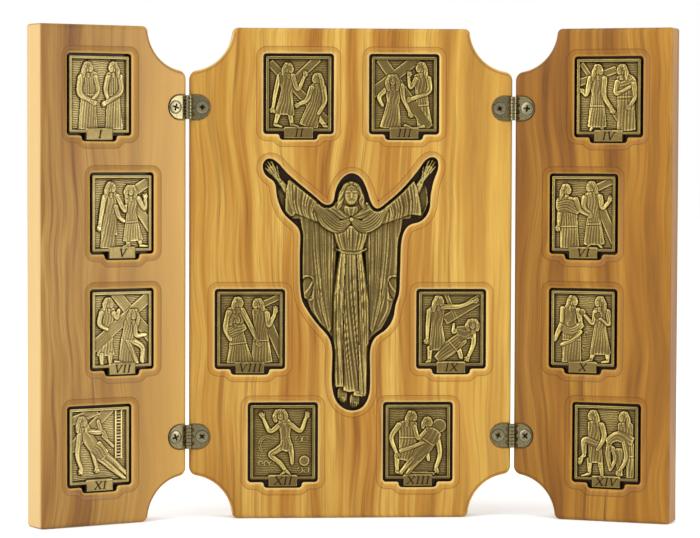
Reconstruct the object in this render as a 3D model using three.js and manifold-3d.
// Folding triptych of solid wood: a centre panel and two hinged wings, with fourteen cast
// plaques and one large cast figure, each set in its own routed recess.
// Millimetres, +Z up, front towards -Y. The origin is the centre of the centre panel's underside.
import * as THREE from 'three';
import { mergeVertices } from 'three/addons/utils/BufferGeometryUtils.js';
import Module from 'manifold-3d';

const wasm = await Module();
wasm.setup();

// Boards
const panelHeight = 244;
const centreWidth = 161;
const wingGap = 1;
const wingWidth = (centreWidth - wingGap) / 2;
const boardThickness = 18;
const hingeLineGap = 0.5;
const frontEdgeRadius = 2.2;
const backEdgeRadius = 4;

// Quarter-round notches that the hinge lines run into, with softened tips
const notchRadius = 21.5;
const sideTipRadius = 4.5;
const endTipRadius = 2.8;

// Recesses
const recessRoundWidth = 3;
const recessRoundDepth = 2;
const plaqueRecessDepth = 5.2;
const figureRecessDepth = 6;
const pieceGap = 0.3;
const plaqueSideGap = 1.3;
const recessCornerRadius = 1.6;

// Plaques
const plaqueWidth = 32.4;
const plaqueHeight = 37.3;
const plaqueThickness = 3.6;
const plaqueCornerRadius = 0.9;
const plaqueRimWidth = 1.5;
const plaqueSceneDepth = 1.2;
const reliefHeight = 1.5;
const tabWidth = 14.5;
const tabHeight = 5.7;
const tabDrop = 3.5;
const tabRaise = 0.35;
const tabRecessSide = 2.2;
const tabRecessDrop = 0.6;

// Plaque rows and columns. The wings have four rows, the centre panel three.
const wingRowHeights = [210.2, 152.3, 95.4, 38.8];
const centreRowHeights = [211.4, 94.4, 37.8];
const wingOuterColumn = 47.8;
const wingInnerColumn = 35.4;
const centreTopColumn = 26.3;
const centreMiddleColumn = 50.3;
const centreBottomColumn = 33.8;

// Cast figure
const figureHeight = 116.2;
const figureFeetHeight = 54.6;
const figureProud = 0.5;
const figureSideGap = 0.9;

// Hinges
const hingeHeights = [204.5, 41];
const leafHeight = 11.8;
const leafReach = 10.3;
const leafThickness = 1.1;
const hingeRecessMargin = 0.4;
const barrelRadius = 1.9;
const barrelBore = 1.1;
const pinRadius = 0.7;
const barrelProud = 1.2;
const knuckleCount = 7;
const knuckleGap = 0.3;
const slotReach = 2.9;
const screwOffset = 6.7;
const screwHeadRadius = 3.1;
const screwHeadProud = 0.25;
const screwShankRadius = 1.1;
const screwLength = 9;

// Wings stand swung forward at rest
const leftRestAngle = 28.3;
const rightRestAngle = 24;

const woodCentre = new THREE.MeshStandardMaterial({ color: 0xd9b065, roughness: 0.45, metalness: 0 });
const woodLeft = new THREE.MeshStandardMaterial({ color: 0xc39a62, roughness: 0.45, metalness: 0 });
const woodRight = new THREE.MeshStandardMaterial({ color: 0xb98744, roughness: 0.45, metalness: 0 });
const castMetal = new THREE.MeshStandardMaterial({ color: 0x8c7c48, roughness: 0.42, metalness: 0.9 });
const hingeMetal = new THREE.MeshStandardMaterial({ color: 0xb5a57a, roughness: 0.35, metalness: 0.95 });
const screwMetal = new THREE.MeshStandardMaterial({ color: 0xa39a7c, roughness: 0.35, metalness: 0.95 });

const frontOf = boardThickness / 2;

// Booleans
function toSolid(geometry) {
  const bare = geometry.clone();
  bare.deleteAttribute('normal');
  bare.deleteAttribute('uv');
  const merged = mergeVertices(bare, 1e-5);
  const vertProperties = new Float32Array(merged.attributes.position.array);
  const triVerts = new Uint32Array(merged.index.array);
  return new wasm.Manifold(new wasm.Mesh({ numProp: 3, vertProperties, triVerts }));
}

function toGeometry(solid) {
  const mesh = solid.getMesh();
  const geometry = new THREE.BufferGeometry();
  geometry.setAttribute('position', new THREE.BufferAttribute(new Float32Array(mesh.vertProperties), 3));
  geometry.setIndex(new THREE.BufferAttribute(new Uint32Array(mesh.triVerts), 1));
  geometry.computeVertexNormals();
  return geometry;
}

function joinAll(solids) {
  return solids.reduce((whole, next) => whole.add(next));
}

function cutAll(solid, cutters) {
  return cutters.reduce((rest, next) => rest.subtract(next), solid);
}

// A closed body through rings of [x, y, z] points, each ring anticlockwise seen from +z,
// listed from the lowest z to the highest.
function loft(rings) {
  const count = rings[0].length;
  const positions = rings.flat(2);
  const index = [];
  for (let level = 0; level < rings.length - 1; level += 1) {
    for (let i = 0; i < count; i += 1) {
      const a = level * count + i;
      const b = level * count + ((i + 1) % count);
      index.push(a, b, b + count, a, b + count, a + count);
    }
  }
  const flat = (ring) => ring.map(([x, y]) => new THREE.Vector2(x, y));
  const top = (rings.length - 1) * count;
  for (const [a, b, c] of THREE.ShapeUtils.triangulateShape(flat(rings[0]), [])) {
    index.push(a, c, b);
  }
  for (const [a, b, c] of THREE.ShapeUtils.triangulateShape(flat(rings[rings.length - 1]), [])) {
    index.push(top + a, top + b, top + c);
  }
  const geometry = new THREE.BufferGeometry();
  geometry.setAttribute('position', new THREE.BufferAttribute(new Float32Array(positions), 3));
  geometry.setIndex(index);
  return toSolid(geometry);
}

const atLevel = (outline, z) => outline.map(([x, y]) => [x, y, z]);

function boxSolid(x0, x1, y0, y1, z0, z1) {
  const geometry = new THREE.BoxGeometry(x1 - x0, y1 - y0, z1 - z0);
  geometry.translate((x0 + x1) / 2, (y0 + y1) / 2, (z0 + z1) / 2);
  return toSolid(geometry);
}

function arc(cx, cy, radius, from, to, steps) {
  const points = [];
  for (let i = 0; i <= steps; i += 1) {
    const angle = from + ((to - from) * i) / steps;
    points.push([cx + radius * Math.cos(angle), cy + radius * Math.sin(angle)]);
  }
  return points;
}

// Panel outline. One corner is described in its own quadrant, with the corner at (0, 0),
// the wood towards -x and -y, the end edge along x and the side edge along y.
function notchedCorner(inset) {
  const tip = (radius) => {
    const round = Math.max(radius - inset, 0.3);
    const along = Math.sqrt((notchRadius + inset + round) ** 2 - (inset + round) ** 2);
    return { round, along, back: inset + round };
  };
  const end = tip(endTipRadius);
  const side = tip(sideTipRadius);
  const endAngle = Math.atan2(end.back, end.along);
  const sideAngle = Math.atan2(side.back, side.along);
  const reach = notchRadius + inset;
  return [
    ...arc(-side.back, -side.along, side.round, 0, Math.PI / 2 - sideAngle, 2),
    ...arc(0, 0, reach, -Math.PI / 2 - sideAngle, -Math.PI + endAngle, 4).slice(1, -1),
    ...arc(-end.along, -end.back, end.round, endAngle, Math.PI / 2, 2),
  ];
}

const squareCorner = (inset) => [[-inset, -inset]];

// Anticlockwise from the lower right corner; leftNotched and rightNotched name the notched sides.
function panelOutline(x0, x1, leftNotched, rightNotched, inset) {
  const corner = (notched) => (notched ? notchedCorner(inset) : squareCorner(inset));
  const right = corner(rightNotched);
  const left = corner(leftNotched);
  return [
    ...right.map(([x, y]) => [x1 + x, -y]).reverse(),
    ...right.map(([x, y]) => [x1 + x, panelHeight + y]),
    ...left.map(([x, y]) => [x0 - x, panelHeight + y]).reverse(),
    ...left.map(([x, y]) => [x0 - x, -y]),
  ];
}

function boardSolid(x0, x1, leftNotched, rightNotched) {
  const ring = (inset, depth) => atLevel(panelOutline(x0, x1, leftNotched, rightNotched, inset), -depth);
  const lean = 1 - Math.SQRT1_2;
  return loft([
    ring(backEdgeRadius, boardThickness),
    ring(0, boardThickness - backEdgeRadius),
    ring(0, frontEdgeRadius),
    ring(frontEdgeRadius * lean, frontEdgeRadius * lean),
    ring(frontEdgeRadius, 0),
  ]);
}

// A plaque's outline: a rectangle with a tab below it. grow pushes every side outwards, so
// the two inner corners beside the tab keep their arc about the same centre.
function plaqueOutline(grow, tabSide, tabBelow, radius, steps, roundedTab = true) {
  const halfWidth = plaqueWidth / 2;
  const halfHeight = plaqueHeight / 2;
  const halfTab = tabWidth / 2 + tabSide;
  const tabBottom = halfHeight + tabDrop + tabBelow;
  const outer = radius + grow;
  const quarter = Math.PI / 2;
  const inner = Math.max(recessRoundWidth + radius - grow, 0.3);
  const right = [
    ...arc(halfTab - radius, -tabBottom + radius, outer, -quarter, 0, 1),
    ...(roundedTab
      ? arc(halfTab + grow + inner, -halfHeight - grow - inner, inner, Math.PI, quarter, 1)
      : [[halfTab, -halfHeight]]),
    ...arc(halfWidth - radius, -halfHeight + radius, outer, -quarter, 0, steps),
    ...arc(halfWidth - radius, halfHeight - radius, outer, 0, quarter, steps),
  ];
  const left = right.map(([x, y]) => [-x, y]).reverse();
  return [...right, ...left];
}

const recessTabSide = tabRecessSide - plaqueSideGap;
const recessTabDrop = tabRecessDrop - plaqueSideGap;
const recessOutline = (grow) =>
  plaqueOutline(plaqueSideGap + grow, recessTabSide, recessTabDrop, recessCornerRadius - 1, 1);

// A recess cutter: floor, straight wall, eased lip and a short length above the face.
function recessCutter(outlineAt, depth) {
  return loft([
    atLevel(outlineAt(0), -depth),
    atLevel(outlineAt(0), -recessRoundDepth),
    atLevel(outlineAt(recessRoundWidth), 0),
    atLevel(outlineAt(recessRoundWidth), 1),
  ]);
}

// The figure's recess, in hundredths of the figure's height from its feet, clockwise from the
// raised hand at the left.
const unit = figureHeight / 100;
const nicheKnots = [
  [-37.9, 105.2], [-37, 100.4], [-32.8, 97.2], [-31.8, 91], [-29.1, 84], [-25, 80], [-22.2, 77],
  [-22, 66], [-21.8, 52], [-21, 46.6], [-18.6, 42.2], [-14.6, 36.6], [-9.4, 30.6], [-8, 26],
  [-7.9, 9], [-5.8, 2.6], [-2.1, -0.4], [2.1, -0.9], [5.6, 0.9], [8, 6], [8.4, 14], [8.5, 26],
  [10.3, 30.4], [15.2, 34], [18.2, 38.6], [19.2, 44.6], [20.7, 49], [21.2, 60], [22.2, 74.6],
  [25, 79], [30, 80.4], [33.6, 85], [34.2, 91.6], [35.6, 98.4], [37.4, 103], [36.8, 107.8],
  [32.8, 107.6], [28.8, 102.4], [22, 94.4], [15.4, 88.6], [11, 85.6], [8.6, 88.4], [6.8, 94], [4, 99.4],
  [0.2, 101.3], [-3.5, 99.4], [-6.5, 94.4], [-8, 88], [-11, 87.4], [-15, 90.6], [-21.6, 96],
  [-27.6, 101.2], [-32, 106], [-35.4, 107.6],
];
const nicheRounding = 2.2;
const nicheSteps = 72;
const nicheSamples = 10;

// The knots run through a closed spline. Each of its points is averaged with those within the
// rounding length, nearer ones more, so that no corner of the wood is sharper than its lip.
const nicheCurve = (() => {
  const knots = nicheKnots.map(([x, y]) => new THREE.Vector3(x * unit, figureFeetHeight + y * unit, 0));
  const curve = new THREE.CatmullRomCurve3(knots, true, 'centripetal');
  const fine = curve.getSpacedPoints(nicheSteps * nicheSamples).slice(0, -1);
  const count = fine.length;
  const spread = Math.round((nicheRounding * count) / curve.getLength());
  return Array.from({ length: nicheSteps }, (_, step) => {
    const mean = new THREE.Vector3();
    for (let k = -spread; k <= spread; k += 1) {
      mean.addScaledVector(fine[(step * nicheSamples + k + count) % count], spread + 1 - Math.abs(k));
    }
    return mean.divideScalar((spread + 1) ** 2);
  });
})();

function nicheOutline(grow) {
  const count = nicheCurve.length;
  return nicheCurve.map((point, i) => {
    const before = nicheCurve[(i + count - 1) % count];
    const after = nicheCurve[(i + 1) % count];
    const along = new THREE.Vector3().subVectors(after, before).normalize();
    return [point.x + along.y * grow, point.y - along.x * grow];
  });
}

// Raised pieces for reliefs. A slab has an upright foot and a top drawn in towards its middle.
function slab(outline, foot, height, bevel) {
  const middle = [0, 1].map((k) => outline.reduce((sum, point) => sum + point[k], 0) / outline.length);
  const inner = outline.map(([x, y]) => {
    const away = Math.hypot(x - middle[0], y - middle[1]);
    const kept = 1 - Math.min(bevel / away, 0.45);
    return [middle[0] + (x - middle[0]) * kept, middle[1] + (y - middle[1]) * kept];
  });
  return loft([atLevel(outline, foot), atLevel(inner, height)]);
}

// A bent bar through joints, with one width at each joint. A flat bar has a broad top; the
// others rise to one ridge.
function bar(joints, widths, foot, height, flat = false) {
  const last = joints.length - 1;
  const positions = [];
  const section = flat
    ? [[-1, foot], [-1, height], [1, height], [1, foot]]
    : [[-1, foot], [0, height], [1, foot]];
  joints.forEach(([x, y], i) => {
    const before = joints[Math.max(i - 1, 0)];
    const after = joints[Math.min(i + 1, last)];
    const along = new THREE.Vector2(after[0] - before[0], after[1] - before[1]).normalize();
    for (const [side, z] of section) {
      const half = (side * widths[i]) / 2;
      positions.push(x + along.y * half, y - along.x * half, z);
    }
  });
  const count = section.length;
  const end = last * count;
  const index = [];
  for (let k = 1; k < count - 1; k += 1) {
    index.push(0, k + 1, k, end, end + k, end + k + 1);
  }
  for (let i = 0; i < last; i += 1) {
    for (let k = 0; k < count; k += 1) {
      const a = i * count + k;
      const b = i * count + ((k + 1) % count);
      index.push(a, b, b + count, a, b + count, a + count);
    }
  }
  const geometry = new THREE.BufferGeometry();
  geometry.setAttribute('position', new THREE.BufferAttribute(new Float32Array(positions), 3));
  geometry.setIndex(index);
  return toSolid(geometry);
}

function dome(x, y, halfWidth, halfHeight, foot, height, sides = 7) {
  const ring = (share, z) => Array.from({ length: sides }, (_, i) => {
    const angle = (2 * Math.PI * (i + 0.5)) / sides;
    return [x + halfWidth * share * Math.cos(angle), y + halfHeight * share * Math.sin(angle), z];
  });
  return loft([ring(1, foot), ring(0.62, height)]);
}

// The fourteen scenes, in mm from the plaque's middle. A person is a head, a garment given by
// its shoulder, waist and hem (each [middle x, y, width]) and bent limbs; a beam is [from, to, width].
const scenes = [
  {
    beams: [],
    people: [
      { head: [-5.2, 12.9], garment: [[-5.6, 9, 10], [-5.6, 0, 8.6], [-6, -16.6, 10]],
        limbs: [[[-9.6, 7.6], [-9.4, 0.8], [-3.6, -1.6]], [[-1.4, 7.6], [-0.4, 0], [-4, -1]]] },
      { head: [6.6, 13.2], garment: [[7.6, 9.4, 8.6], [7.6, 0, 7.4], [8, -16.6, 8.6]],
        limbs: [[[11, 8.6], [11.2, 2], [3.2, -4]]] },
    ],
  },
  {
    beams: [[[-12.4, 15.4], [14, -12.6], 4.2], [[9, 16], [-4, 3], 4.2]],
    people: [
      { head: [-4.6, 12.3], garment: [[-6, 9.4, 8], [-5.8, 1.2, 5.4], [-7.4, -9.8, 9.6]],
        limbs: [[[-9.6, 8.6], [-11.4, 0], [-13, -8.4]], [[-2.8, 8.6], [-0.4, 2.4], [3.2, 9.4]],
          [[-10, -9.6], [-11.6, -16]], [[-4.2, -9.6], [-3.2, -16]]] },
      { head: [9.2, 7.6], garment: [[9.2, 3.6, 6.6], [9.4, -4.4, 6], [7.4, -15.6, 11.4]],
        limbs: [[[6.6, 2.6], [4, -3], [-1.6, -6.4]], [[12.6, 3], [13.2, -3.6], [10.4, -9.8]]] },
    ],
  },
  {
    beams: [[[-11, 16], [12, -15.4], 5], [[9, 16], [-14.4, 0], 5.4]],
    people: [
      { head: [-5.6, 6.4], garment: [[-5.6, 2.6, 8.4], [-5.4, -4.2, 6.2], [-6.4, -16, 10.6]],
        limbs: [[[-9.4, 1.4], [-11.2, -5.6]], [[-1.4, 3], [-0.4, -4], [2.4, -9.6]]] },
      { head: [7.8, 13.2], garment: [[8.6, 8.4, 7.6], [8.6, 0, 6.4], [9, -14.8, 8]],
        limbs: [[[12.2, 7.4], [12, 1.4], [3, -2]], [[5.6, 6.6], [3.2, 4.6], [2.4, 9.8]]] },
    ],
  },
  {
    beams: [[[-12.6, 15.4], [6, -12.8], 2.6], [[2.4, 15.8], [-14.4, 8], 3.4]],
    people: [
      { head: [-5.6, 13.2], garment: [[-5.8, 9, 7.8], [-5.8, 1, 5.8], [-6, -14.4, 9.4]],
        limbs: [[[-9.4, 8.6], [-11, 0.8], [-13.8, 3.6]], [[-2.4, 8.4], [-1.6, -1.6], [2.6, -8.2]]] },
      { head: [5.6, 13], garment: [[8.4, 9.6, 8], [8.6, 0, 9], [9.2, -15.6, 9.8]],
        limbs: [[[3.8, 2], [8, 4.4], [11.4, 5.4]], [[12.8, 6], [12.6, -1], [10.4, -4]]] },
    ],
  },
  {
    beams: [[[14, 15], [0, 8], 5], [[8, 4], [14.4, -8], 4.6]],
    people: [
      { head: [-6, 12.3], garment: [[-6, 8.6, 8], [-6.4, 0, 7], [-7, -9.8, 8.8]],
        limbs: [[[-9.8, 7.6], [-11.4, -1], [-12.4, -7.6]], [[-2.6, 7.6], [0, 0.8], [2, 3.6]],
          [[-9, -9.4], [-9.4, -16]], [[-4.6, -9.4], [-4.8, -16]]] },
      { head: [4.6, 10.8], garment: [[6, 7, 7.4], [5.6, 0, 5.2], [6.4, -13.2, 11]],
        limbs: [[[9.4, 6.6], [12.4, 2.8], [13, 8]], [[4, -13], [3.6, -16.4]], [[9.6, -13], [11.6, -16.2]]] },
    ],
  },
  {
    beams: [[[4, 12.6], [14.4, 16], 4], [[8, 2], [14.4, -12.6], 4.4]],
    people: [
      { head: [-8.4, 12], garment: [[-7.4, 8, 8.6], [-7.6, 0, 9.4], [-7.2, -16.8, 9.6]],
        limbs: [[[-11.6, 4], [-11.8, -3], [-13.2, -8]], [[-4.4, 5], [0, -0.4], [3.6, -1]]] },
      { head: [3, 13.2], garment: [[4, 9, 8.6], [4.6, 0, 6.4], [5.8, -14.6, 10.4]],
        limbs: [[[-0.4, 7.8], [1, 2], [3.6, -0.6]], [[8, 8.6], [9.6, 3], [13.8, 7.8]]] },
    ],
  },
  {
    beams: [[[-1.6, 16.2], [14.2, -4], 5.4], [[14, 14.6], [-14.2, -8], 5.4]],
    people: [
      { head: [-7, 13], garment: [[-8, 9.4, 7], [-8, 2.4, 6], [-9, -12, 8.4]],
        limbs: [[[-11.4, 8], [-11.8, 1.4], [-8, -0.6]], [[-5.4, 7], [-2.2, 8.6]]] },
      { head: [6.2, 6.8], garment: [[4.4, 2.4, 6.4], [3.4, -4.4, 6.6], [4.6, -15.8, 8.4]],
        limbs: [[[7.2, 1], [7.8, -3.2], [12.6, -2.8]], [[6, -5.4], [11.4, -9.4], [7.4, -15.4]]] },
    ],
  },
  {
    beams: [[[4, 11.6], [14.2, 16], 4], [[10, 1.6], [14.4, -12.4], 4.4]],
    people: [
      { head: [-5.6, 13], garment: [[-7, 9, 8], [-6.8, -2, 8], [-4.8, -15.6, 13]],
        limbs: [[[-11, 7], [-11.4, 0], [-9, -4.6]], [[-3.4, 9.4], [0, 1.4], [4.4, -7]]] },
      { head: [3.6, 12.4], garment: [[4.6, 8.2, 8.2], [5, 0, 6.4], [6, -14.6, 10]],
        limbs: [[[8.4, 7.4], [9, 1.8], [12.6, 8.8]], [[2, -3], [6.6, -7.4]]] },
      { head: [-6.8, 4.4], garment: [[-6.6, 1.6, 4], [-6.6, -1, 4.6], [-7, -5, 5.6]], limbs: [] },
    ],
  },
  {
    beams: [[[14, 14], [-3, 5], 5], [[-3, 15], [4, 4], 3.6]],
    people: [
      { head: [-5.4, 13.6], garment: [[-6.8, 9.8, 8.2], [-7, 2.4, 5.4], [-6.8, -10.2, 7.6]],
        limbs: [[[-3.6, 11], [5, 11.8], [12.6, 14.4]], [[-11, 9], [-11.4, 0], [-11.6, -9]],
          [[-10, -10], [-10.6, -16.4]]] },
      { head: [11, 2], garment: [[9, -0.4, 5.6], [4.6, -2, 6.6], [0.6, -6, 5]],
        limbs: [[[11.4, -1.6], [10.8, -8], [8.4, -14.4]], [[4, -3], [-2, -9.6], [-6.4, -14.6]],
          [[2.6, -5.6], [4.8, -14.2]]] },
    ],
  },
  {
    beams: [],
    people: [
      { head: [-4.6, 13], garment: [[-6, 8.4, 8], [-5.8, 0.6, 8.6], [-5.8, -16.6, 9.6]],
        limbs: [[[-10, 9], [-10.4, 3], [-13.4, -4.6]], [[-2.6, 8.4], [0, 0], [-3.4, -5]]] },
      { head: [8.2, 13.4], garment: [[9.4, 9, 7.4], [8.8, 1, 6.2], [9, -12, 10.8]],
        limbs: [[[6.4, 7.4], [4.4, 3.2], [-0.4, 8.8]], [[12.8, 8], [12.8, 2.6], [8.2, 6]],
          [[5.6, -11.8], [4.6, -16]], [[12.4, -11.8], [13, -16]]] },
    ],
  },
  {
    beams: [[[-13.6, 13.6], [3.6, 16], 4], [[3.4, 15.6], [-6, 7], 4.4]],
    people: [
      { head: [-8.6, 11.4], garment: [[-7.2, 7, 8], [-5, 1.6, 6.4], [0.6, -4.6, 6]],
        limbs: [[[-11, 5.6], [-11.6, -4], [-9.4, -13]], [[-4, 7.4], [1, 6.4], [0, 11]],
          [[-0.6, -4.6], [7, -11.4], [13.4, -16.4]], [[2.6, -3], [9, -9.6], [14.6, -14.6]],
          [[-4, -2], [-2.6, -7], [-1.6, -11.6]], [[2.6, 5], [7.4, -0.4]]] },
    ],
    ladder: [10.6, 16.6, -7, 3.4],
  },
  {
    beams: [],
    people: [
      { head: [-1, 13.4], garment: [[1, 8.6, 6.6], [1.4, 3, 4.6], [2, -2.4, 5.6]],
        limbs: [[[-2, 8.4], [-6.4, 5.6], [-11, 14.6]], [[3.8, 8.8], [8.8, 5.8], [12, 14.4]],
          [[0, -1.6], [-6.4, -6], [2.2, -15.4]], [[3.6, -2], [4.4, -10]]] },
    ],
    rings: [[-7.8, -1.4, 4.6], [11, -9.2, 2.6]],
  },
  {
    beams: [[[-6, -14.8], [8, -15.6], 2.4]],
    people: [
      { head: [-2.6, 12.6], garment: [[-4.4, 8, 9.4], [-4.4, 0, 8.6], [-7, -8.6, 6.6]],
        limbs: [[[-9, 8], [-12.8, 2.6], [-10.6, -6]], [[-10, -8], [-10.4, -15]]] },
      { head: [5.4, 9.2], garment: [[5.6, 5.6, 7.4], [3, -2, 6.4], [0, -7.4, 5.4]],
        limbs: [[[2.6, 8.6], [0.6, 2.6]], [[9.4, 3], [11, -7], [9.4, -14]], [[-1, -7.6], [-6.6, -15]]] },
    ],
    rings: [[11, 8, 3.4]],
  },
  {
    beams: [],
    people: [
      { head: [-7.2, 13.4], garment: [[-6.2, 9.4, 7.6], [-6, 2.4, 6.4], [-5.6, -9.4, 6.6]],
        limbs: [[[-2.4, 9.4], [-1, 2.6], [-4.2, -3.4]], [[-4.4, -1.2], [-10.6, 1], [-11.4, -8], [-14, -10.6]],
          [[-7.4, -8.6], [-8.4, -16]], [[-3.6, -8.6], [-2.4, -15.6]]] },
      { head: [9.4, 12.8], garment: [[9.6, 8.8, 7.8], [9.6, 1.4, 7.6], [12, -16.4, 4]],
        limbs: [[[6.4, 4.6], [1.6, 0], [2.2, -9.6]], [[8, -0.4], [10, -6], [6.8, -13.6]]] },
    ],
  },
];

const sceneFloor = -plaqueSceneDepth;
const reliefFoot = sceneFloor - 0.4;
const reliefTop = sceneFloor + reliefHeight;
const beamTop = sceneFloor + reliefHeight * 0.45;
const headHalfWidth = 2.5;
const headHalfHeight = 2.9;
const limbWidths = [2.9, 2.5, 2.1, 1.9];

function personSolids({ head, garment, limbs }) {
  const cloth = [...garment].reverse();
  return [
    bar(cloth, cloth.map(([, , width]) => width), reliefFoot, reliefTop - 0.2),
    dome(head[0], head[1], headHalfWidth, headHalfHeight, reliefFoot, reliefTop, 5),
    ...limbs.map((joints) => bar(joints, limbWidths, reliefFoot, reliefTop)),
  ];
}

function plaqueSolid(scene) {
  const back = -plaqueThickness;
  const halfX = plaqueWidth / 2 - plaqueRimWidth;
  const halfY = plaqueHeight / 2 - plaqueRimWidth;
  const plate = loft([
    atLevel(plaqueOutline(0, 0, 0, plaqueCornerRadius, 1, false), back),
    atLevel(plaqueOutline(0, 0, 0, plaqueCornerRadius, 1, false), 0),
  ]);
  const rectangle = (grow) => [
    [halfX + grow, -halfY - grow], [halfX + grow, halfY + grow],
    [-halfX - grow, halfY + grow], [-halfX - grow, -halfY - grow],
  ];
  const picture = loft([
    atLevel(rectangle(-0.6), sceneFloor),
    atLevel(rectangle(0), 0),
    atLevel(rectangle(0), 1),
  ]);
  const beams = scene.beams.map(([from, to, width]) => (
    bar([from, to], [width, width], reliefFoot, beamTop, true)));
  const [ladderX, ladderTop, ladderBottom, ladderWidth] = scene.ladder ?? [0, 0, 0, 0];
  const ladder = scene.ladder
    ? [-1, 1].map((side) => bar(
      [[ladderX + (side * ladderWidth) / 2, ladderTop - 0.6], [ladderX + (side * ladderWidth) / 2, ladderBottom]],
      [0.9, 0.9], reliefFoot, beamTop, true))
    : [];
  const rings = (scene.rings ?? []).map(([x, y, radius]) => (
    dome(x, y, radius, radius, reliefFoot, sceneFloor + reliefHeight * 0.3, 6)));
  const raised = joinAll([...beams, ...ladder, ...rings, ...scene.people.flatMap(personSolids)]);
  const tabTop = -plaqueHeight / 2 - tabDrop + tabHeight;
  const tab = boxSolid(-tabWidth / 2, tabWidth / 2, -plaqueHeight / 2 - tabDrop, tabTop, back, tabRaise);
  return plate.subtract(picture).add(raised).add(tab);
}

// The large figure. Everything below is in hundredths of its height: x from its middle, y up
// from its feet; heights out of the board are mm from the recess floor.
const figureFoot = 0;
const figureDepth = figureRecessDepth - pieceGap + figureProud;
const figurePoint = ([x, y]) => [x * unit, figureFeetHeight + y * unit];

// Cloth hung between two edges. Each row is [left x, right x, y, edge lift, ridge lift]; the
// ridges alternate with the valleys across it. edges may slope by giving a second y.
function drape(rows, folds, valley) {
  const across = folds * 2;
  const front = rows.map(([x0, x1, y0, y1, edge, ridge]) => Array.from({ length: across + 1 }, (_, i) => {
    const share = i / across;
    const rounding = Math.sin(Math.PI * share) ** 0.5;
    const crest = i % 2 === 1 ? 1 : valley;
    const lift = i === 0 || i === across ? edge : edge + (ridge - edge) * crest * rounding;
    const [x, y] = figurePoint([x0 + (x1 - x0) * share, y0 + (y1 - y0) * share]);
    return [x, y, lift * figureDepth];
  }));
  const positions = [];
  const index = [];
  const width = across + 1;
  front.forEach((row) => row.forEach((point) => positions.push(...point)));
  const backStart = positions.length / 3;
  front.forEach((row) => {
    const ends = [row[0], row[across]];
    ends.forEach(([x, y]) => positions.push(x, y, figureFoot));
  });
  const quad = (a, b, c, d) => index.push(a, b, c, a, c, d);
  for (let r = 0; r < rows.length - 1; r += 1) {
    for (let i = 0; i < across; i += 1) {
      const a = r * width + i;
      quad(a, a + width, a + width + 1, a + 1);
    }
    const b = backStart + r * 2;
    quad(b, b + 1, b + 3, b + 2);
    quad(r * width, b, b + 2, (r + 1) * width);
    quad(r * width + across, (r + 1) * width + across, b + 3, b + 1);
  }
  const lastRow = rows.length - 1;
  const topBack = [backStart, backStart + 1];
  const bottomBack = [backStart + lastRow * 2, backStart + lastRow * 2 + 1];
  for (let i = 0; i < across; i += 1) {
    index.push(topBack[0], i, i + 1);
    index.push(bottomBack[0], lastRow * width + i + 1, lastRow * width + i);
  }
  index.push(topBack[0], across, topBack[1]);
  index.push(bottomBack[0], bottomBack[1], lastRow * width + across);
  const geometry = new THREE.BufferGeometry();
  geometry.setAttribute('position', new THREE.BufferAttribute(new Float32Array(positions), 3));
  geometry.setIndex(index);
  return toSolid(geometry);
}

// A tapered round-topped form between two points, for fingers, feet and locks of hair.
function taper(from, to, startWidth, endWidth, startLift, endLift) {
  const a = new THREE.Vector2(...figurePoint(from));
  const b = new THREE.Vector2(...figurePoint(to));
  const along = new THREE.Vector2().subVectors(b, a).normalize();
  const ring = (point, width, level) => [[-1, 0], [1, 0], [0.6, 1], [-0.6, 1]]
    .map(([side, lift]) => [
      point.x + (along.y * side * width * unit) / 2,
      point.y - (along.x * side * width * unit) / 2,
      figureFoot + lift * level * figureDepth,
    ]);
  const start = ring(a, startWidth, startLift);
  const end = ring(b, endWidth, endLift);
  const positions = [...start, ...end].flat();
  const index = [];
  const count = start.length;
  for (let i = 0; i < count; i += 1) {
    const j = (i + 1) % count;
    index.push(i, i + count, j + count, i, j + count, j);
  }
  for (let i = 1; i < count - 1; i += 1) {
    index.push(0, i, i + 1);
    index.push(count, count + i + 1, count + i);
  }
  const geometry = new THREE.BufferGeometry();
  geometry.setAttribute('position', new THREE.BufferAttribute(new Float32Array(positions), 3));
  geometry.setIndex(index);
  return toSolid(geometry);
}

// A rounded mass standing up from the foot, in a few rings.
function mound(centre, halfWidth, halfHeight, lift, sides = 8) {
  const [x, y] = figurePoint(centre);
  const ring = (share, level) => Array.from({ length: sides }, (_, i) => {
    const angle = (2 * Math.PI * (i + 0.5)) / sides;
    return [
      x + halfWidth * unit * share * Math.cos(angle), y + halfHeight * unit * share * Math.sin(angle),
      figureFoot + level * lift * figureDepth,
    ];
  });
  return loft([ring(1, 0), ring(0.9, 0.72), ring(0.45, 1)]);
}

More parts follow.
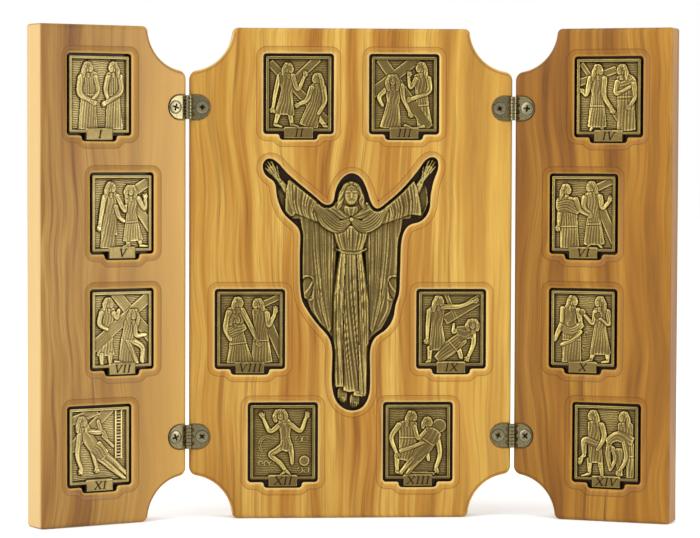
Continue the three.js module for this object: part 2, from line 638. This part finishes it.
function figureSolid() {
  const forms = [
    drape([
      [-6.4, 6.2, 80, 80, 0.3, 0.7], [-6.6, 6.4, 68, 68, 0.4, 0.86],
      [-8.4, 8.6, 52, 52, 0.4, 0.86], [-7, 7.8, 6.4, 6.4, 0.4, 0.8],
    ], 4, 0.72),
    drape([[-7, 7, 69.4, 69.4, 0.5, 0.94], [-7, 7, 66.4, 66.4, 0.5, 0.94]], 1, 0.96),
    drape([
      [-14.4, 14.2, 88, 87, 0.3, 0.74], [-16.4, 16.2, 81, 81, 0.3, 0.9],
      [-11.4, 11.4, 76.6, 76.6, 0.35, 0.92],
    ], 3, 0.86),
    mound([0, 92.4], 7, 7.6, 0.8),
    mound([0, 91], 4, 5.6, 1),
  ];
  for (const side of [-1, 1]) {
    const mantle = [
      [21, 5, 84, 84, 0.25, 0.5], [21, 5, 56, 52, 0.25, 0.6], [19.4, 5, 45, 40, 0.25, 0.6],
      [13, 5, 35.4, 30, 0.25, 0.5],
    ].map(([far, near, farY, nearY, edge, ridge]) => (side < 0
      ? [-far, -near, farY, nearY, edge, ridge]
      : [near, far, nearY, farY, edge, ridge]));
    forms.push(drape(mantle, 2, 0.6));
    const sleeve = [[13, 88], [13, 78.6], [21.6, 79.4], [31, 84], [28, 98.4], [20.6, 92.6]]
      .map(([x, y]) => figurePoint([side * x, y]));
    forms.push(slab(side > 0 ? sleeve : sleeve.reverse(), figureFoot, 0.8 * figureDepth, 2.4 * unit));
    forms.push(taper([side * 26, 94.4], [side * 34, 101.6], 4.6, 3.4, 0.8, 0.74));
    forms.push(taper([side * 33.6, 101.2], [side * 35.6, 106], 3.2, 1.8, 0.74, 0.55));
    forms.push(taper([side * 33, 101], [side * 31.6, 104.8], 1.6, 0.9, 0.7, 0.6));
    forms.push(taper([side * 3.4, 8], [side * 4, 0.4], 3.6, 2.6, 0.62, 0.36));
  }
  const room = loft([
    atLevel(nicheOutline(-figureSideGap), figureFoot - 1),
    atLevel(nicheOutline(-figureSideGap), figureRecessDepth + figureDepth),
  ]);
  return joinAll(forms).intersect(room);
}

// Hinge parts, seen with the barrel's axis along y at x = 0 and the face at z = 0; the leaf
// reaches towards +x.
const leafTop = 0;
const leafBottom = -leafThickness;
const hingeRecessDepth = leafThickness + pieceGap;
const knucklePitch = leafHeight / knuckleCount;
const boreSides = 5;
const barrelSteps = 4;
const screwHeadDepth = 0.8;
const screwSides = 7;

function dEnd(reach, height, start, steps = 4) {
  const radius = height / 2;
  const middle = reach - radius;
  return [[start, -radius], ...arc(middle, 0, radius, -Math.PI / 2, Math.PI / 2, steps), [start, radius]];
}

// One knuckle with the web that joins it to the leaf, drawn in cross-section and run along y.
function knuckle(index) {
  const bottom = -leafHeight / 2 + index * knucklePitch + (index > 0 ? knuckleGap / 2 : 0);
  const top = -leafHeight / 2 + (index + 1) * knucklePitch - (index < knuckleCount - 1 ? knuckleGap / 2 : 0);
  const webAngle = Math.asin(Math.min(barrelProud / barrelRadius, 1));
  const round = arc(0, barrelProud, barrelRadius, -webAngle, 1.5 * Math.PI, barrelSteps);
  const webEnd = slotReach + 0.4;
  const outline = [...round, [barrelRadius / 2, leafBottom], [webEnd, leafBottom], [webEnd, leafTop]];
  const shape = new THREE.Shape(outline.map(([x, z]) => new THREE.Vector2(x, z)));
  const bore = arc(0, barrelProud, barrelBore, 0, -2 * Math.PI, boreSides).slice(0, -1);
  shape.holes.push(new THREE.Path(bore.map(([x, z]) => new THREE.Vector2(x, z))));
  const geometry = new THREE.ExtrudeGeometry(shape, { depth: top - bottom, bevelEnabled: false });
  geometry.rotateX(Math.PI / 2);
  geometry.translate(0, top, 0);
  return toSolid(geometry);
}

const isCentreKnuckle = (index) => index % 2 === 0;

function turnedBody(profile, sides) {
  const points = profile.map(([radius, height]) => new THREE.Vector2(radius, height));
  const geometry = new THREE.LatheGeometry(points, sides);
  geometry.rotateX(Math.PI / 2);
  return geometry;
}

// Countersunk screw with its axis along z and its head's top at screwHeadProud.
function screwProfile(grow, from, to) {
  const head = screwHeadRadius + grow;
  const shank = screwShankRadius + grow;
  return [
    [0, from], [shank, from], [shank, screwHeadProud - screwHeadDepth - grow],
    [head, screwHeadProud - grow], ...(to > screwHeadProud ? [[head, to]] : []), [0, to],
  ];
}

function screwBody(grow, from, to) {
  return toSolid(turnedBody(screwProfile(grow, from, to), screwSides)).translate([screwOffset, 0, 0]);
}

function leafSolid(forCentre) {
  const plate = loft([
    atLevel(dEnd(leafReach, leafHeight, slotReach), leafBottom),
    atLevel(dEnd(leafReach, leafHeight, slotReach), leafTop),
  ]);
  const own = Array.from({ length: knuckleCount }, (_, i) => i)
    .filter((i) => isCentreKnuckle(i) === forCentre)
    .map(knuckle);
  return joinAll([plate, ...own]).subtract(screwBody(pieceGap, -screwLength, 2));
}

const screwSolid = () => screwBody(0, -screwLength, screwHeadProud);

function hingeRecess() {
  const half = hingeLineGap / 2;
  const outline = dEnd(leafReach + hingeRecessMargin, leafHeight + 2 * hingeRecessMargin, half - 3);
  const pocket = loft([atLevel(outline, -hingeRecessDepth), atLevel(outline, 1)]);
  const hole = toSolid(turnedBody([
    [0, -screwLength - pieceGap], [screwShankRadius + pieceGap, -screwLength - pieceGap],
    [screwShankRadius + pieceGap, 0], [0, 0],
  ], screwSides)).translate([screwOffset, 0, 0]);
  return pocket.add(hole);
}

// Assembly. Every board group has x to the right, y up and z out of its front face.
const triptych = new THREE.Group();

function boardGroup(parent, x, y) {
  const group = new THREE.Group();
  group.position.set(x, y, 0);
  group.rotation.x = Math.PI / 2;
  parent.add(group);
  return group;
}

function addMesh(group, name, solid, material, x = 0, y = 0, z = 0, mirrored = false) {
  const shaped = mirrored ? solid.mirror([1, 0, 0]) : solid;
  const mesh = new THREE.Mesh(toGeometry(shaped), material);
  mesh.name = name;
  mesh.position.set(x, y, z);
  group.add(mesh);
  return mesh;
}

function wingPivot(side, angle) {
  const pivot = new THREE.Group();
  pivot.position.set(side * hingeAxisX, -frontOf - barrelProud, 0);
  pivot.rotation.z = THREE.MathUtils.degToRad(-side * angle);
  triptych.add(pivot);
  return pivot;
}

const hingeAxisX = (centreWidth + hingeLineGap) / 2;
const centreBoard = boardGroup(triptych, 0, -frontOf);
const leftBoard = boardGroup(wingPivot(-1, leftRestAngle), 0, barrelProud);
const rightBoard = boardGroup(wingPivot(1, rightRestAngle), 0, barrelProud);

const wingNear = hingeLineGap / 2;
const wingFar = wingNear + wingWidth;
const [centreTopRow, centreMiddleRow, centreBottomRow] = centreRowHeights;
const centrePlaques = [
  [2, -centreTopColumn, centreTopRow], [3, centreTopColumn, centreTopRow],
  [8, -centreMiddleColumn, centreMiddleRow], [9, centreMiddleColumn, centreMiddleRow],
  [12, -centreBottomColumn, centreBottomRow], [13, centreBottomColumn, centreBottomRow],
];
const [topRow, upperRow, lowerRow, bottomRow] = wingRowHeights;
const wingPlaques = (numbers, side) => [
  [numbers[0], side * (wingNear + wingOuterColumn), topRow],
  [numbers[1], side * (wingNear + wingInnerColumn), upperRow],
  [numbers[2], side * (wingNear + wingInnerColumn), lowerRow],
  [numbers[3], side * (wingNear + wingOuterColumn), bottomRow],
];
const leftPlaques = wingPlaques([1, 5, 7, 11], -1);
const rightPlaques = wingPlaques([4, 6, 10, 14], 1);

const plaqueCutter = recessCutter(recessOutline, plaqueRecessDepth);
const recessesFor = (plaques) => plaques.map(([, x, y]) => plaqueCutter.translate([x, y, 0]));
// side is the way that the leaf reaches from the hinge line
const hingeCuts = (lineX, side) => hingeHeights.map((height) => {
  const cut = side < 0 ? hingeRecess().mirror([1, 0, 0]) : hingeRecess();
  return cut.translate([lineX, height, 0]);
});

const centreSolid = cutAll(boardSolid(-centreWidth / 2, centreWidth / 2, true, true), [
  ...recessesFor(centrePlaques),
  recessCutter(nicheOutline, figureRecessDepth),
  ...hingeCuts(-hingeAxisX, 1),
  ...hingeCuts(hingeAxisX, -1),
]);
const leftSolid = cutAll(boardSolid(-wingFar, -wingNear, false, true), [
  ...recessesFor(leftPlaques), ...hingeCuts(0, -1),
]);
const rightSolid = cutAll(boardSolid(wingNear, wingFar, true, false), [
  ...recessesFor(rightPlaques), ...hingeCuts(0, 1),
]);
addMesh(centreBoard, 'panel_centre', centreSolid, woodCentre);
addMesh(leftBoard, 'panel_left', leftSolid, woodLeft);
addMesh(rightBoard, 'panel_right', rightSolid, woodRight);

const plaqueFace = -plaqueRecessDepth + pieceGap + plaqueThickness;
function addPlaques(board, plaques) {
  for (const [number, x, y] of plaques) {
    const name = `plaque_${String(number).padStart(2, '0')}`;
    addMesh(board, name, plaqueSolid(scenes[number - 1]), castMetal, x, y, plaqueFace);
  }
}
addPlaques(centreBoard, centrePlaques);
addPlaques(leftBoard, leftPlaques);
addPlaques(rightBoard, rightPlaques);

addMesh(centreBoard, 'figure', figureSolid(), castMetal, 0, 0, -figureRecessDepth + pieceGap);

const hingePin = new THREE.CylinderGeometry(pinRadius, pinRadius, leafHeight, boreSides);
for (const side of [-1, 1]) {
  const wingBoard = side < 0 ? leftBoard : rightBoard;
  const sideName = side < 0 ? 'left' : 'right';
  hingeHeights.forEach((height, level) => {
    const label = `hinge_${level === 0 ? 'upper' : 'lower'}_${sideName}`;
    const lineX = side * hingeAxisX;
    addMesh(centreBoard, `${label}_leaf_centre`, leafSolid(true), hingeMetal, lineX, height, 0, side > 0);
    addMesh(wingBoard, `${label}_leaf_wing`, leafSolid(false), hingeMetal, 0, height, 0, side < 0);
    addMesh(centreBoard, `${label}_screw_centre`, screwSolid(), screwMetal, lineX, height, 0, side > 0);
    addMesh(wingBoard, `${label}_screw_wing`, screwSolid(), screwMetal, 0, height, 0, side < 0);
    addMesh(centreBoard, `${label}_pin`, toSolid(hingePin), hingeMetal, lineX, height, barrelProud);
  });
}

export default triptych;
